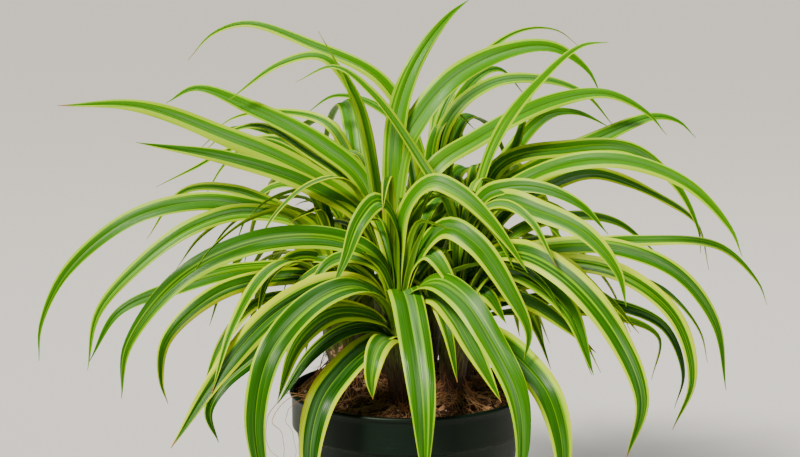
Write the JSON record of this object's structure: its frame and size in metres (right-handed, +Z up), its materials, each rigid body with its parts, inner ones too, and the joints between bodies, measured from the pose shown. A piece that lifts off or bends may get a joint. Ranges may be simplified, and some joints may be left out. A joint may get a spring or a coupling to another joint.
{
  "type": "potted spider plant",
  "caption": "Spider plant with crowns of long arching green leaves edged in yellow, growing from potting mix in a round tapered plastic nursery pot with a rolled rim.",
  "frame": {"origin": "centre of the pot's flat bottom", "axes": "+Z up, -Y towards the viewer of the picture, X along the plant's widest spread"},
  "size_m": [0.4888, 0.3559, 0.3825],
  "materials": {
    "pot": "satin injection-moulded polypropylene, very dark green",
    "potting_mix": "loose brown coir and bark, matt",
    "leaf": "waxy living leaf, green middle and yellow margins"
  },
  "bodies": {
    "root": {"pot": "pot", "potting_mix": "potting_mix", "crown_front": "leaf", "crown_front_right": "leaf", "crown_left": "leaf", "crown_centre": "leaf", "crown_right": "leaf", "crown_back_left": "leaf", "crown_back_right": "leaf"}
  },
  "joints": []
}
